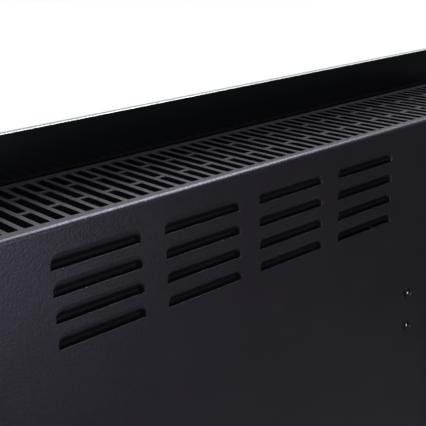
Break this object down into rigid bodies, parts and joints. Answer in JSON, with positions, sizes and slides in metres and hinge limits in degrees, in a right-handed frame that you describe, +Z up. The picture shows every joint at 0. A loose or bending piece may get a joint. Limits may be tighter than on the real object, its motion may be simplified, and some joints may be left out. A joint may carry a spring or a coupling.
{
  "type": "wall-mounted panel heater",
  "caption": "Wall-hung convector heater: folded black steel case with louvred back and slotted top, glossy black glass front, end controls and keyhole hangers.",
  "frame": {"origin": "on the wall, in the middle of the four keyholes", "axes": "+X to the right of someone facing the glass, +Y into the wall, +Z up"},
  "size_m": [0.76, 0.113, 0.4026],
  "materials": {
    "case_paint": "satin powder coat, fine texture",
    "black_glass": "gloss, black print on the back",
    "foam_tape": "matt",
    "galvanised": "dull zinc",
    "bright_sheet": "bright aluminised",
    "black_screw": "gloss black zinc",
    "fin_aluminium": "mill finish",
    "rod_steel": "heat tinted",
    "white_ceramic": "unglazed",
    "brass": "bright",
    "cap_plastic": "fine spark texture",
    "switch_plastic": "gloss",
    "phenolic": "moulded",
    "lens_plastic": "translucent",
    "block_plastic": "moulded"
  },
  "bodies": {
    "heater": {"rear_case": "case_paint", "front_plate": "case_paint", "glass_panel": "black_glass", "glass_bond_strips": "foam_tape", "front_plate_screws": "black_screw", "bracket_screws": "black_screw", "end_cap_screws": "black_screw", "left_wall_hanger": "case_paint", "right_wall_hanger": "case_paint", "left_element_bush": "white_ceramic", "right_element_bush": "white_ceramic", "element_fins": "fin_aluminium", "heating_rod": "rod_steel", "element_terminals": "brass", "heat_shield": "bright_sheet", "shield_rivets": "fin_aluminium", "left_element_bracket": "galvanised", "right_element_bracket": "galvanised", "thermal_cutout": "phenolic", "cutout_screws": "galvanised", "thermostat_body": "phenolic", "thermostat_collar": "brass", "thermostat_nut": "galvanised", "indicator_lens": "lens_plastic", "cord_gland": "cap_plastic", "gland_nut": "cap_plastic", "upper_switch_housing": "switch_plastic", "lower_switch_housing": "switch_plastic", "switch_tabs": "brass", "terminal_block": "block_plastic", "left_end_cap": "cap_plastic", "right_end_cap": "cap_plastic"},
    "dial": {"thermostat_knob": "cap_plastic", "thermostat_spindle": "brass"},
    "upper_rocker": {"upper_rocker": "switch_plastic"},
    "lower_rocker": {"lower_rocker": "switch_plastic"}
  },
  "joints": [
    {"name": "thermostat_turn", "type": "hinge", "parent": "heater", "child": "dial", "pos_m": [0.36, -0.063, 0.096], "axis": [-1, 0, 0], "range_deg": [0, 270]},
    {"name": "upper_rocker_tip", "type": "hinge", "parent": "heater", "child": "upper_rocker", "pos_m": [0.3504, -0.063, 0.038], "axis": [0, -1, 0], "range_deg": [0, 16]},
    {"name": "lower_rocker_tip", "type": "hinge", "parent": "heater", "child": "lower_rocker", "pos_m": [0.3504, -0.063, 0.004], "axis": [0, -1, 0], "range_deg": [0, 16]}
  ]
}
